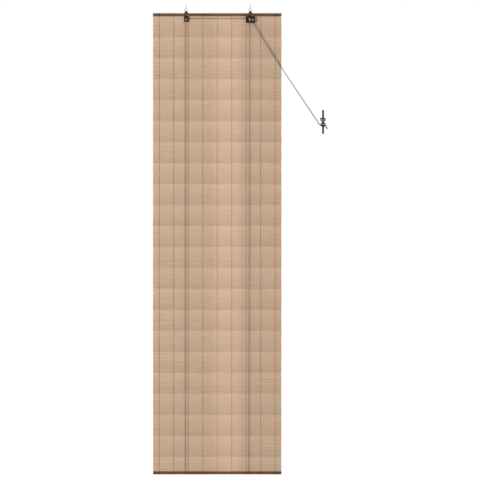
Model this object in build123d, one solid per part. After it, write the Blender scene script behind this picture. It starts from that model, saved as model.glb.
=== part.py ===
from build123d import *
from math import cos, radians, sin, sqrt
import os

# A roll-up blind: millimetres, +Z up, the room on the -Y side, the wall on +Y.
# Height zero is the ceiling, midway between the two screw hooks.

# Rails and the mat of slats between them
blind_width = 600.0
blind_drop = 2155.0
rail_height = 14.0
rail_depth = 9.0
rail_edge = 1.5
slat_pitch = 6.13
slat_thickness = 1.8
slat_bevel_depth = 0.5
slat_bevel_height = 0.8
seam_gap = 0.6
mat_gap = 0.2
slats_per_gap = 16

# Warp threads tied round slats and rails
warp_count = 9
warp_inset = 29.2
thread_width = 1.5
thread_thickness = 0.5
thread_slack = 0.1
thread_slope = 0.6

# Screw hooks
hook_span = 300.0
hook_wire = 2.6
hook_ring_radius = 7.0
hook_ring_drop = 9.3
hook_bend_angle = 70.0
hook_end_angle = 30.0
hook_shank_radius = 1.5
hook_shank_length = 18.0
hook_root = 4.0

# Hanger plates: a rolled eye, a tab over the rail and the back of the pulley housing
plate_thickness = 1.2
eye_bore_radius = 2.1
eye_width = 7.0
eye_slack = 0.2
eye_rise = 10.6
neck_flare = 7.0
tab_left = 11.0
tab_right = 8.5
body_gap = 1.2
body_corner = 2.0
left_body_width = 20.6
left_body_height = 25.0
right_body_width = 43.4
right_body_height = 30.0

# Cord and the wheels it runs over
cord_diameter = 2.0
cord_slack = 0.3
lane_pitch = 2.6
wheel_drop = 29.8
wheel_groove_radius = 3.7
wheel_rim_radius = 8.6
wheel_flange = 0.7
lane_play = 0.15
side_play = 0.3

# Rivets and screws
axle_radius = 1.5
axle_play = 0.05
left_axle_head_radius = 4.2
guide_axle_head_radius = 2.6
axle_head_height = 0.9
pin_play = 0.05
shank_sides = 8
cord_sides = 6
head_sides = 12
wheel_sides = 24
screw_radius = 1.3
screw_length = 6.0
screw_head_radius = 2.7
screw_head_height = 1.3
screw_spread = 12.0
screw_step = 4.6
screw_depth = 4.8

# Cord lock: a toothed roller that slides in a pair of sloping slots
lock_drop = 1.8
lock_radius = 5.8
lock_tooth_depth = 0.6
lock_tooth_count = 16
lock_pin_radius = 1.8
lock_head_radius = 4.4
lock_head_height = 1.2
lock_head_play = 0.2
lock_travel = 3.0
lock_slope_angle = 35.0
slot_play = 0.3
window_width = 5.0
window_height = 18.0
window_offset = 4.9

# Pull cords and the hank wound on the cleat
pull_angle = 31.3
pull_spread_angle = 0.6
pull_spread = 2.6
hank_outline = [(5, 21), (8, 14.5), (11.5, 6), (14, -0.5), (16.5, -8.5), (16.5, -17), (6, -19),
                (-5, -19), (-12, -16), (-13.5, -11.5), (-9.5, -5), (-9.5, 6), (-13.5, 12),
                (-9, 16.5), (-5, 21)]
hank_front = 10.5
hank_back = 3.4
hank_entry_x = 10.0
hank_entry_z = 9.5
hank_entry_y = 3.0
knot_radius = 2.2
knot_length = 4.0
cord_hole_y = 2.3

# Wall cleat
cleat_x = 489.5
cleat_z = -531.0
wall_y = 15.0
cleat_length = 113.0
cleat_width = 8.6
cleat_height = 22.0
cleat_bar_front = 18.0
cleat_clear = 12.0
cleat_tip_clear = 17.0
cleat_bow = 0.9
cleat_neck_length = 26.0
cleat_foot_length = 44.0
cleat_foot_height = 3.0
cleat_fit = 0.3
cleat_screw_radius = 1.75
cleat_screw_play = 0.15
cleat_screw_spacing = 16.0
cleat_screw_reach = 22.0
cleat_head_radius = 3.2
cleat_head_height = 2.0
cleat_sink = 3.0

# Places worked out from the sizes above
cord_radius = cord_diameter / 2
left_x = -hook_span / 2
right_x = hook_span / 2
cord_reach = wheel_groove_radius + cord_slack + cord_radius
mat_x = -cord_reach
warp_spacing = (blind_width - 2 * warp_inset) / (warp_count - 1)
rail_front = -rail_depth / 2

ring_z = -hook_ring_drop
ring_bore = hook_ring_radius - hook_wire / 2
hook_y = rail_front + eye_bore_radius
eye_z = ring_z - sqrt(ring_bore**2 - (eye_width / 2) ** 2) + eye_slack - eye_bore_radius
eye_top = eye_z + eye_bore_radius + plate_thickness
rail_top = eye_top - eye_rise
rail_foot = rail_top - rail_height
blind_foot = rail_top - blind_drop
bottom_rail_top = blind_foot + rail_height
axle_z = rail_top - wheel_drop
body_top = rail_foot - body_gap

plate_front = rail_front - plate_thickness
left_wheel_width = cord_diameter + 2 * lane_play + 2 * wheel_flange
guide_wheel_width = left_wheel_width + lane_pitch
left_cheek_back = plate_front - left_wheel_width - 2 * side_play
right_cheek_back = plate_front - guide_wheel_width - 2 * side_play
left_lane_y = plate_front - side_play - left_wheel_width / 2
right_lane_y = left_lane_y - lane_pitch

lock_reach = lock_radius + cord_slack + cord_radius
lock_x = right_x + cord_reach + lock_reach
lock_z = axle_z - lock_drop


# Small helpers
def slab(face_points, back_y, thickness):
    """A plate cut to a front outline of (x, z) points, from back_y towards the room."""
    outline = make_face(Plane.XZ.offset(-back_y) * Polyline(*face_points, close=True))
    return extrude(outline, amount=thickness, dir=(0, -1, 0))


def drill(x, z, radius, back_y, depth):
    """A round cutter along Y, from back_y towards the room."""
    disc = Plane.XZ.offset(-back_y) * Pos(x, z) * Circle(radius)
    return extrude(disc, amount=depth, dir=(0, -1, 0))


def flats(x, z, radius, sides, back_y, depth):
    """A many-sided bar or cutter along Y, for small round pieces that are seen from afar."""
    shape = RegularPolygon(radius, sides, major_radius=False)
    shape = Plane.XZ.offset(-back_y) * Pos(x, z) * shape
    return extrude(shape, amount=depth, dir=(0, -1, 0))


def turned(profile_points, x, z):
    """A turned piece on an axis along Y, from (radius, y) points."""
    outline = make_face(Polyline(*profile_points, close=True))
    return Pos(x, 0, z) * revolve(outline, Axis.Y)


def wire_along(path, radius, sides):
    """A bent wire or a plain cord along a path, in flats that keep its faces few."""
    start = Plane(origin=path @ 0, z_dir=path % 0)
    return sweep(start * RegularPolygon(radius, sides), path=path)


# Rails: planed battens, the head rail drilled for screws and for the two cord ends
def screw_places():
    """Centres of the hanger screws on the front of the head rail."""
    places = []
    for hook_x in (left_x, right_x):
        places.append((hook_x - screw_spread / 2, rail_top - screw_depth))
        places.append((hook_x + screw_spread / 2, rail_top - screw_depth - screw_step))
    return places


def rail(foot_z):
    batten = Pos(mat_x, 0, foot_z + rail_height / 2) * Box(blind_width, rail_depth, rail_height)
    return fillet(batten.edges().filter_by(Axis.X), rail_edge)


head_rail = rail(rail_foot)
for place_x, place_z in screw_places():
    hole_back = plate_front + screw_length
    head_rail -= flats(place_x, place_z, screw_radius + pin_play, shank_sides, hole_back, screw_length)
for hook_x in (left_x, right_x):
    bore = RegularPolygon(cord_radius + cord_slack, shank_sides)
    bore = Pos(hook_x - cord_reach, cord_hole_y, rail_foot) * bore
    head_rail -= extrude(bore, amount=rail_height)
bottom_rail = rail(blind_foot)


# Mat: slats with bevelled edges, ridge by ridge in one wall, with open seams between groups
mat_top = rail_foot - mat_gap
mat_foot = bottom_rail_top + mat_gap
mat_back = slat_thickness / 2
mat_front = -slat_thickness / 2
mat_edge = mat_front + slat_bevel_depth
slat_count = round((mat_top - mat_foot) / slat_pitch)
gap_count = (slat_count - 1) // slats_per_gap
slat_face = (mat_top - mat_foot - gap_count * seam_gap) / slat_count


def slat_wall():
    outline = [(mat_back, mat_foot), (mat_back, mat_top)]
    gaps = []
    z = mat_top
    for index in range(slat_count):
        foot = z - slat_face
        outline += [(mat_edge, z), (mat_front, z - slat_bevel_height),
                    (mat_front, foot + slat_bevel_height)]
        z = foot
        if (index + 1) % slats_per_gap == 0 and len(gaps) < gap_count:
            outline.append((mat_edge, z))
            gaps.append(z - seam_gap / 2)
            z -= seam_gap
    outline.append((mat_edge, mat_foot))
    section = make_face(Plane.YZ * Polyline(*outline, close=True))
    wall = extrude(section, amount=blind_width / 2, both=True)
    seam = Box((warp_count - 1) * warp_spacing, 2 * rail_depth, seam_gap)
    return Pos(mat_x, 0, 0) * (wall - [Pos(0, 0, gap_z) * seam for gap_z in gaps])


# Warp threads: flat bands that go down the front, round the bottom rail and up the back
def thread_outline(grow):
    rail_y = rail_depth / 2 + thread_slack + grow
    back_y = mat_back + thread_slack + grow
    front_y = mat_front - thread_slack - grow
    top = rail_top + thread_slack + grow
    foot = blind_foot - thread_slack - grow
    upper = rail_foot - thread_slack - grow
    lower = bottom_rail_top + thread_slack + grow
    return make_face(Plane.YZ * Polyline(
        (-rail_y, top), (rail_y, top), (rail_y, upper), (back_y, upper - thread_slope),
        (back_y, lower + thread_slope), (rail_y, lower), (rail_y, foot), (-rail_y, foot),
        (-rail_y, lower), (front_y, lower + thread_slope), (front_y, upper - thread_slope),
        (-rail_y, upper), close=True))


def warp_thread(place):
    band = thread_outline(thread_thickness) - thread_outline(0)
    x = mat_x + (place - (warp_count - 1) / 2) * warp_spacing
    return Pos(x, 0, 0) * extrude(band, amount=thread_width / 2, both=True)


# Screw hooks: a wire bent aside from the shank's axis and round into an open ring
def screw_hook(x):
    turn = radians(hook_bend_angle)
    bend = hook_ring_radius * cos(turn) / (1 - cos(turn))
    bend_z = ring_z + (hook_ring_radius + bend) * sin(turn)

    def on_ring(angle):
        side = hook_ring_radius * cos(radians(angle))
        return (x + side, hook_y, ring_z + hook_ring_radius * sin(radians(angle)))

    def on_bend(angle):
        return (x - bend + bend * cos(angle), hook_y, bend_z - bend * sin(angle))

    ring_start = 180 - hook_bend_angle
    ring_middle = (ring_start + 360 + hook_end_angle) / 2
    path = Wire([Line((x, hook_y, hook_root), on_bend(0)),
                 ThreePointArc(on_bend(0), on_bend(turn / 2), on_bend(turn)),
                 ThreePointArc(on_bend(turn), on_ring(ring_middle), on_ring(hook_end_angle))])
    shank = Pos(x, hook_y, hook_shank_length / 2) * Cylinder(hook_shank_radius, hook_shank_length)
    return wire_along(path, hook_wire / 2, shank_sides) + shank


# Hanger plates, stamped and rolled from one sheet: eye, tab over the rail, back of the housing
def hanger(hook_x, body_width, body_height):
    neck = eye_width / 2
    half = body_width / 2
    foot = body_top - body_height
    crop = half - body_corner

    def side(tab):
        return [(crop, foot), (half, foot + body_corner), (half, body_top), (tab, body_top),
                (tab, rail_top), (neck, rail_top + neck_flare), (neck, eye_z)]

    outline = [(hook_x + reach, z) for reach, z in side(tab_right)]
    outline += [(hook_x - reach, z) for reach, z in reversed(side(tab_left))]
    plate = slab(outline, rail_front, plate_thickness)
    ring = RegularPolygon(eye_bore_radius + plate_thickness, head_sides, major_radius=False)
    ring -= RegularPolygon(eye_bore_radius, head_sides, major_radius=False)
    eye = extrude(Plane.YZ * Pos(hook_y, eye_z) * ring, amount=neck, both=True)
    plate += Pos(hook_x, 0, 0) * eye
    plate -= drill(hook_x, axle_z, axle_radius + pin_play, rail_front, plate_thickness)
    for place_x, place_z in screw_places():
        plate -= flats(place_x, place_z, screw_radius + pin_play, shank_sides, rail_front, plate_thickness)
    return plate


# Front cheeks, each with a flange folded back along its top to meet the hanger plate
def front_cheek(hook_x, body_width, body_height, back_y):
    half = body_width / 2
    foot = body_top - body_height
    crop = half - body_corner
    side = [(crop, foot), (half, foot + body_corner), (half, body_top)]
    outline = [(hook_x + reach, z) for reach, z in side]
    outline += [(hook_x - reach, z) for reach, z in reversed(side)]
    plate = slab(outline, back_y, plate_thickness)
    fold = [(hook_x - half, body_top), (hook_x + half, body_top),
            (hook_x + half, body_top - plate_thickness), (hook_x - half, body_top - plate_thickness)]
    plate += slab(fold, plate_front, plate_front - back_y)
    return plate - drill(hook_x, axle_z, axle_radius + pin_play, back_y, plate_thickness)


def lock_slot(back_y):
    """Cutter for the sloping slot of the lock pin through one plate."""
    run = SlotCenterToCenter(lock_travel, 2 * (lock_pin_radius + slot_play))
    run = Rot(0, 0, lock_slope_angle) * Pos(lock_travel / 2, 0) * run
    shape = Plane.XZ.offset(-back_y) * Pos(lock_x, lock_z) * run
    return extrude(shape, amount=plate_thickness, dir=(0, -1, 0))


def wheel_window():
    """Cutter for the upright window beside the guide wheel's axle."""
    shape = SlotOverall(window_height, window_width, rotation=90)
    shape = Plane.XZ.offset(-right_cheek_back) * Pos(right_x - window_offset, lock_z) * shape
    return extrude(shape, amount=plate_thickness, dir=(0, -1, 0))


left_hanger = hanger(left_x, left_body_width, left_body_height)
right_hanger = hanger(right_x, right_body_width, right_body_height) - lock_slot(rail_front)
left_cheek = front_cheek(left_x, left_body_width, left_body_height, left_cheek_back)
right_cheek = front_cheek(right_x, right_body_width, right_body_height, right_cheek_back)
right_cheek = right_cheek - lock_slot(right_cheek_back) - wheel_window()


# Wheels: grooved nylon, the guide wheel wide enough for both cords
def grooved_wheel(x, width):
    back = plate_front - side_play
    far_back = back - width + wheel_flange
    wheel = flats(x, axle_z, wheel_groove_radius, wheel_sides, back, width)
    for flange_back in (back, far_back):
        wheel += flats(x, axle_z, wheel_rim_radius, wheel_sides, flange_back, wheel_flange)
    return wheel - drill(x, axle_z, axle_radius + axle_play, back, width)


# Axle rivets, set flush at the back, and the screws of the hanger tabs
def axle_rivet(x, cheek_back, head_radius):
    front = cheek_back - plate_thickness
    profile = [(0, rail_front), (axle_radius, rail_front), (axle_radius, front),
               (head_radius, front), (head_radius, front - axle_head_height),
               (0, front - axle_head_height)]
    return turned(profile, x, axle_z)


def hanger_screw(x, z):
    head = flats(x, z, screw_head_radius, head_sides, plate_front, screw_head_height)
    return head + flats(x, z, screw_radius, shank_sides, plate_front + screw_length, screw_length)


# Cord lock: roller and pin
def toothed_roller():
    points = []
    for tooth in range(2 * lock_tooth_count):
        radius = lock_radius - lock_tooth_depth * (tooth % 2)
        angle = radians(180 * tooth / lock_tooth_count)
        points.append((lock_x + radius * cos(angle), lock_z + radius * sin(angle)))
    back = left_lane_y + cord_radius
    length = lane_pitch + cord_diameter
    roller = slab(points, back, length)
    return roller - drill(lock_x, lock_z, lock_pin_radius + pin_play, back, length)


def headed_pin():
    front = right_cheek_back - plate_thickness - lock_head_play
    profile = [(0, rail_front), (lock_pin_radius, rail_front), (lock_pin_radius, front),
               (lock_head_radius, front), (lock_head_radius, front - lock_head_height),
               (0, front - lock_head_height)]
    return turned(profile, lock_x, lock_z)


# Lift cords: knotted over the head rail, down the back, under the bottom rail and up the front
under_z = blind_foot - cord_slack - cord_radius
rail_bend = rail_edge + cord_slack + cord_radius
leg_y = rail_depth / 2 + cord_slack + cord_radius


def rear_cord(hook_x):
    x = hook_x - cord_reach
    knot_z = rail_top + pin_play + knot_length / 2
    route = FilletPolyline((x, cord_hole_y, knot_z), (x, leg_y, under_z), (x, 0, under_z),
                           radius=[rail_bend])
    knot = Pos(x, cord_hole_y, rail_top + pin_play) * RegularPolygon(knot_radius, shank_sides)
    return wire_along(route, cord_radius, cord_sides) + extrude(knot, amount=knot_length)


def front_cord(hook_x, lane_y):
    x = hook_x - cord_reach
    route = FilletPolyline((x, lane_y, axle_z), (x, -leg_y, under_z), (x, 0, under_z),
                           radius=[rail_bend])
    return wire_along(route, cord_radius, cord_sides)


# Pull cords: over the wheels, down between guide wheel and lock roller, and off to the cleat
def axle_arc(x, z, lane_y, radius, start_angle, end_angle):
    """An arc in a lane, round an axle at x and z, with angles counted from +X towards +Z."""
    def spot(angle):
        return (x + radius * cos(radians(angle)), lane_y, z + radius * sin(radians(angle)))
    return ThreePointArc(spot(start_angle), spot((start_angle + end_angle) / 2), spot(end_angle))


def run_to_hank(lane_y, start_angle, leave_angle, spread):
    """Over the guide wheel, round the lock roller and, slightly slack, into the hank."""
    over = axle_arc(right_x, axle_z, lane_y, cord_reach, start_angle, 0)
    out = axle_arc(lock_x, lock_z, lane_y, lock_reach, 180, 180 + leave_angle)
    lean = radians(pull_angle)
    end_x = cleat_x - hank_entry_x - spread * cos(lean)
    end_z = cleat_z - hank_entry_z - spread * sin(lean)
    end = (end_x, -hank_entry_y - spread / 2, end_z)
    return [over, Line(over @ 1, out @ 0), out, TangentArc(out @ 1, end, tangent=out % 1)]


def left_pull_cord():
    over = axle_arc(left_x, axle_z, left_lane_y, cord_reach, 180, 90)
    runs = run_to_hank(left_lane_y, 90, pull_angle, 0)
    return wire_along(Wire([over, Line(over @ 1, runs[0] @ 0), *runs]), cord_radius, cord_sides)


def right_pull_cord():
    runs = run_to_hank(right_lane_y, 180, pull_angle - pull_spread_angle, pull_spread)
    return wire_along(Wire(runs), cord_radius, cord_sides)


# Wall cleat: bowed horns on a neck and foot, cut to a round-ended front outline
def cleat_outline():
    """Side view of the cleat: height along X, distance from the wall along Y."""
    half = cleat_length / 2
    neck = cleat_neck_length / 2
    foot = cleat_foot_length / 2
    middle = (half + neck) / 2
    under = (cleat_clear + cleat_tip_clear) / 2 - cleat_bow
    edges = [ThreePointArc((half, cleat_height), (0, cleat_bar_front), (-half, cleat_height)),
             Line((-half, cleat_height), (-half, cleat_tip_clear)),
             ThreePointArc((-half, cleat_tip_clear), (-middle, under), (-neck, cleat_clear)),
             Polyline((-neck, cleat_clear), (-neck, cleat_foot_height), (-foot, cleat_foot_height),
                      (-foot, 0), (foot, 0), (foot, cleat_foot_height),
                      (neck, cleat_foot_height), (neck, cleat_clear)),
             ThreePointArc((neck, cleat_clear), (middle, under), (half, cleat_tip_clear)),
             Line((half, cleat_tip_clear), (half, cleat_height))]
    return make_face(Curve(edges))


def cleat_block(outline, width):
    side_view = Plane(origin=(cleat_x, wall_y, cleat_z), x_dir=(0, 0, 1), z_dir=(1, 0, 0))
    return extrude(side_view * outline, amount=width / 2, both=True)


def cleat_body():
    front = SlotOverall(cleat_length, cleat_width, rotation=90)
    front = Plane.XZ.offset(-wall_y) * Pos(cleat_x, cleat_z) * front
    body = cleat_block(cleat_outline(), cleat_width)
    body &= extrude(front, amount=cleat_height, dir=(0, -1, 0))
    for z in cleat_screw_heights:
        body -= flats(cleat_x, z, cleat_screw_radius + cleat_screw_play, head_sides, wall_y, cleat_height)
        body -= flats(cleat_x, z, cleat_head_radius + cleat_screw_play, head_sides, cleat_seat, cleat_height)
    return body


def cleat_screw(z):
    head = flats(cleat_x, z, cleat_head_radius, head_sides, cleat_seat, cleat_head_height)
    shank = flats(cleat_x, z, cleat_screw_radius, head_sides, wall_y, wall_y - cleat_seat)
    tip_y = wall_y + cleat_screw_reach
    return head + shank + drill(cleat_x, z, cleat_screw_radius, tip_y, cleat_screw_reach)


cleat_seat = wall_y - cleat_bar_front + cleat_sink
cleat_screw_heights = [cleat_z + cleat_screw_spacing / 2, cleat_z - cleat_screw_spacing / 2]


# Hank: the outer shape of the cord wound round the neck and over the bar
def hank_body():
    points = [(cleat_x + x, cleat_z + z) for x, z in hank_outline]
    bundle = slab(points, wall_y - hank_back, cleat_bar_front + hank_front - hank_back)
    room = offset(cleat_outline(), amount=cleat_fit, kind=Kind.INTERSECTION)
    return bundle - cleat_block(room, cleat_width + 2 * cleat_fit)


parts = {
    "head_rail": head_rail,
    "bottom_rail": bottom_rail,
    "slat_mat": slat_wall(),
    "screw_hooks": [screw_hook(left_x), screw_hook(right_x)],
    "left_hanger_plate": left_hanger,
    "right_hanger_plate": right_hanger,
    "hanger_screws": [hanger_screw(x, z) for x, z in screw_places()],
    "left_front_cheek": left_cheek,
    "right_front_cheek": right_cheek,
    "left_wheel": grooved_wheel(left_x, left_wheel_width),
    "guide_wheel": grooved_wheel(right_x, guide_wheel_width),
    "left_axle_rivet": axle_rivet(left_x, left_cheek_back, left_axle_head_radius),
    "guide_axle_rivet": axle_rivet(right_x, right_cheek_back, guide_axle_head_radius),
    "lock_roller": toothed_roller(),
    "lock_pin": headed_pin(),
    "left_rear_cord": rear_cord(left_x),
    "right_rear_cord": rear_cord(right_x),
    "left_front_cord": front_cord(left_x, left_lane_y),
    "right_front_cord": front_cord(right_x, right_lane_y),
    "left_pull_cord": left_pull_cord(),
    "right_pull_cord": right_pull_cord(),
    "cord_hank": hank_body(),
    "cleat": cleat_body(),
    "cleat_screws": [cleat_screw(z) for z in cleat_screw_heights],
}
for place in range(warp_count):
    parts[f"warp_thread_{place + 1}"] = warp_thread(place)

# Every piece moves together so that the hooks' shanks stand at depth zero
to_hooks = Pos(0, -hook_y, 0)
os.makedirs("parts", exist_ok=True)
for name, piece in parts.items():
    if isinstance(piece, list):
        shape = Compound(children=[to_hooks * one for one in piece])
    else:
        shape = to_hooks * piece
    export_step(shape, f"parts/{name}.step")
    print(name, round(shape.volume, 1))
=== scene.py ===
# %% [markdown]
# # A roll-up blind of split bamboo
# A woven mat of bamboo slats hangs from a stained rail. Two lift cords loop round it, run over
# pulleys at the top, meet in a cord lock at the right, and go down together to a cleat on the wall.
# The solids come in as a fixed frame. This script dresses them: it keeps the shapes that are right,
# and builds what repeats or bends, such as slats, yarns, cords and screws, in their place.

# %% Load the solids
import math
import bmesh
import bpy
import numpy as np
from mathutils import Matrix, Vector


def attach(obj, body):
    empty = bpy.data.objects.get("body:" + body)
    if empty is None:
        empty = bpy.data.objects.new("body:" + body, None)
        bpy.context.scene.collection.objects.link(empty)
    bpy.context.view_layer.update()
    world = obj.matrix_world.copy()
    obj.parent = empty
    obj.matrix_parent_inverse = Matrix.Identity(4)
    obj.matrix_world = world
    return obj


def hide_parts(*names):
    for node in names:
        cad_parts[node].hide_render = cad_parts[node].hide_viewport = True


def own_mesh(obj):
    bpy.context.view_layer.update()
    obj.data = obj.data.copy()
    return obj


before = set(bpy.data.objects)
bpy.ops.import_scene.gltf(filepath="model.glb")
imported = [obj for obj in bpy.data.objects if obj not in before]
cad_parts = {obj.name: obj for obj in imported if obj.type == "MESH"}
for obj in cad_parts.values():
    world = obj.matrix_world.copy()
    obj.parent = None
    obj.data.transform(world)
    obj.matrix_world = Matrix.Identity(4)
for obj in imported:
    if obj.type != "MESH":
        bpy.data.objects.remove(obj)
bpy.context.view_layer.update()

mm = 0.001
root = "hanging_blind"

# %% [markdown]
# The blind is seen square from the front, from so far away that nothing narrows with depth. A flat
# camera without perspective would do that too, but the other views need perspective. So this is a
# long lens, and the frame's height at the mat sets how far back the camera stands.

# %% Camera
def new_object(name, data):
    """An object with this data, linked into the scene."""
    obj = bpy.data.objects.new(name, data)
    bpy.context.scene.collection.objects.link(obj)
    return obj


lens_length = 300.0
sensor_width = 36.0
frame_height = 2243 * mm
frame_centre = Vector((101.4 * mm, 1.5 * mm, -1082.6 * mm))
camera = new_object("camera", bpy.data.cameras.new("camera"))
camera.data.lens = lens_length
camera.data.sensor_width = sensor_width
camera.data.clip_end = 200.0
camera.location = frame_centre - Vector((0, frame_height * lens_length / sensor_width, 0))
camera.rotation_euler = (math.pi / 2, 0, 0)
bpy.context.scene.camera = camera
print("camera at", tuple(camera.location))

# %% [markdown]
# Every finish is a small tree of nodes. One function adds a node, sets it and links it, so that each
# material below reads as a list of what the eye sees. Colours are written as screen hex values.

# %% Helpers for materials
def linear(code):
    """A screen colour such as c7a991 as linear red, green, blue and full alpha."""
    parts = [int(code[i:i + 2], 16) / 255 for i in (0, 2, 4)]
    return [c / 12.92 if c <= 0.04045 else ((c + 0.055) / 1.055) ** 2.4 for c in parts] + [1.0]


def add(tree, kind, inputs=None, stops=(), **settings):
    """Adds one node, with its settings, colour stops, input values and the sockets that feed it."""
    node = tree.nodes.new(kind)
    for key, value in settings.items():
        setattr(node, key, value)
    for key, value in (inputs or {}).items():
        if isinstance(value, bpy.types.NodeSocket):
            tree.links.new(value, node.inputs[key])
        else:
            node.inputs[key].default_value = value
    for place, (position, code) in enumerate(stops):
        elements = node.color_ramp.elements
        element = elements[place] if place < len(elements) else elements.new(position)
        element.position, element.color = position, linear(code)
    return node


def new_material(name, surface):
    """An empty material with its tree, its surface shader and its object coordinates."""
    material = bpy.data.materials.new(name)
    material.use_nodes = True
    tree = material.node_tree
    tree.nodes.clear()
    shader = add(tree, "ShaderNodeBsdfPrincipled", surface)
    add(tree, "ShaderNodeOutputMaterial", {"Surface": shader.outputs[0]})
    place = add(tree, "ShaderNodeTexCoord").outputs["Object"]
    return material, tree, shader, place


def per(size):
    """Texture scale for a pattern that repeats once in this many millimetres."""
    return 1 / (size * mm)


print("material helpers ready")

# %% [markdown]
# Braided cord is spun from thin strands that cross in diamonds round a core. Modelled strands would
# take millions of faces, so the braid is drawn. On the tube, one texture direction runs round it and
# the other along it, and two sets of slanting waves multiplied together give the diamonds. Each pick
# is about 2 mm long, coarser than real, so that it shows. The colour is darker where the waves are
# low, which is painted shade between the picks.

# %% Braided cord
# Loose fibres scatter light, so that little of it mirrors off cotton, wood or cane.
fibre_shine = 0.2
fibre_index = 1.5


def braided_cord(name, dark, middle, light):
    material, tree, shader, place = new_material(name, {
        "Roughness": 0.85, "IOR": fibre_index, "Specular IOR Level": fibre_shine})
    skin = add(tree, "ShaderNodeSeparateXYZ", {0: add(tree, "ShaderNodeUVMap").outputs[0]})
    along = add(tree, "ShaderNodeMath", {0: skin.outputs["Y"], 1: per(4)}, operation="MULTIPLY")
    around = add(tree, "ShaderNodeMath", {0: skin.outputs["X"], 1: 4.0}, operation="MULTIPLY")
    waves = []
    for way in ("ADD", "SUBTRACT"):
        slant = add(tree, "ShaderNodeMath", {0: around.outputs[0], 1: along.outputs[0]},
                    operation=way)
        turn = add(tree, "ShaderNodeMath", {0: slant.outputs[0], 1: math.tau}, operation="MULTIPLY")
        waves.append(add(tree, "ShaderNodeMath", {0: turn.outputs[0]}, operation="SINE").outputs[0])
    diamond = add(tree, "ShaderNodeMath", {0: waves[0], 1: waves[1]}, operation="MULTIPLY")
    height = add(tree, "ShaderNodeMapRange", {0: diamond.outputs[0], 1: -1.0, 2: 1.0}).outputs[0]
    fuzz = add(tree, "ShaderNodeTexNoise", {"Vector": place, "Scale": per(1.2), "Detail": 3.0})
    half = add(tree, "ShaderNodeMath", {0: fuzz.outputs[0], 1: 0.5}, operation="MULTIPLY")
    # Random fuzz in tone, plus painted shade: darker where the braid sinks between the picks.
    fuzz_and_groove_shade = add(tree, "ShaderNodeMath", {0: height, 1: 0.5, 2: half.outputs[0]},
                operation="MULTIPLY_ADD")
    colour = add(tree, "ShaderNodeValToRGB", {"Fac": fuzz_and_groove_shade.outputs[0]},
                 stops=[(0.2, dark), (0.5, middle), (0.8, light)])
    tree.links.new(colour.outputs["Color"], shader.inputs["Base Color"])
    bump = add(tree, "ShaderNodeBump", {"Height": height, "Strength": 0.7, "Distance": 0.25 * mm})
    tree.links.new(bump.outputs[0], shader.inputs["Normal"])
    return material


# Olive brown and dull: it reads as a thin dark line on the pale mat.
cord_finish = braided_cord("braided_cotton_cord", "3e3528", "514734", "645843")
print("cord finish:", cord_finish.name)

# %% [markdown]
# A cord is a round strand along a smooth line. A curve with a bevel would give the tube at once, but
# no UV map in metres for the braid. So the line is a NURBS spline through a few control points, and
# the tube is skinned round the points that Blender reads from it, once round and in metres along.

# %% Strands
def plain_mesh(obj):
    """The mesh that an object's spline, modifiers or nodes come to."""
    graph = bpy.context.evaluated_depsgraph_get()
    return bpy.data.meshes.new_from_object(obj.evaluated_get(graph))


def spline_line(points, resolution=12):
    """Points along the smooth spline that these control points shape."""
    curve = bpy.data.curves.new("route", "CURVE")
    curve.dimensions = "3D"
    spline = curve.splines.new("NURBS")
    spline.points.add(len(points) - 1)
    for point, place in zip(spline.points, points):
        point.co = (*place, 1.0)
    spline.order_u = 3
    spline.use_endpoint_u = True
    spline.resolution_u = resolution
    holder = new_object("route", curve)
    mesh = plain_mesh(holder)
    line = [v.co.copy() for v in mesh.vertices]
    bpy.data.objects.remove(holder)
    bpy.data.meshes.remove(mesh)
    return line


def strand(name, lines, radius, sides):
    """One mesh of round strands along lines of points, with UVs round and along them."""
    places, faces, uvs = [], [], []
    for line in lines:
        line = np.array(line, float)
        tangents = np.gradient(line, axis=0)
        tangents /= np.linalg.norm(tangents, axis=1)[:, None]
        lengths = np.concatenate([[0], np.cumsum(np.linalg.norm(np.diff(line, axis=0), axis=1))])
        side = np.cross(tangents[0], (0.36, 0.48, 0.8))
        base = len(places)
        for index, tangent in enumerate(tangents):
            side = side - tangent * (side @ tangent)
            side = side / np.linalg.norm(side)
            other = np.cross(tangent, side)
            for corner in range(sides):
                angle = math.tau * corner / sides
                outward = side * math.cos(angle) + other * math.sin(angle)
                places.append(line[index] + radius * outward)
        for ring in range(len(line) - 1):
            for corner in range(sides):
                after = (corner + 1) % sides
                low, high = base + ring * sides, base + (ring + 1) * sides
                faces.append((low + corner, low + after, high + after, high + corner))
                left, right = corner / sides, (corner + 1) / sides
                uvs += [(left, lengths[ring]), (right, lengths[ring]),
                        (right, lengths[ring + 1]), (left, lengths[ring + 1])]
        last = base + (len(line) - 1) * sides
        faces.append(tuple(reversed(range(base, base + sides))))
        faces.append(tuple(range(last, last + sides)))
        uvs += [(0, 0)] * sides + [(0, lengths[-1])] * sides
    mesh = bpy.data.meshes.new(name)
    mesh.from_pydata(places, [], faces)
    layer = mesh.uv_layers.new(name="UVMap")
    layer.data.foreach_set("uv", np.array(uvs, np.float32).ravel())
    mesh.polygons.foreach_set("use_smooth", [True] * len(mesh.polygons))
    return new_object(name, mesh)


cord_radius = 1.0 * mm
cord_sides = 10
print("cord:", 2 * cord_radius, "m thick, with", cord_sides, "sides")

# %% [markdown]
# Each finished piece moves with one rigid body of the blind, such as the bottom rail or a wheel. It
# may stand for solids, which are then hidden.

# %% Placing a piece
def place_piece(obj, body, slot, material, *nodes):
    """Gives a finished piece its material, its body and the solids it stands for. The slot is not used.
    """
    if material is not None:
        obj.data.materials.clear()
        obj.data.materials.append(material)
    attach(obj, body)
    if nodes:
        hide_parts(*nodes)
    triangles = sum(len(p.vertices) - 2 for p in obj.data.polygons)
    print(obj.name, "rides", body, "with", triangles, "triangles")
    return obj


print("bodies are named in the frame, and", root, "is the one that hangs still")

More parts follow.
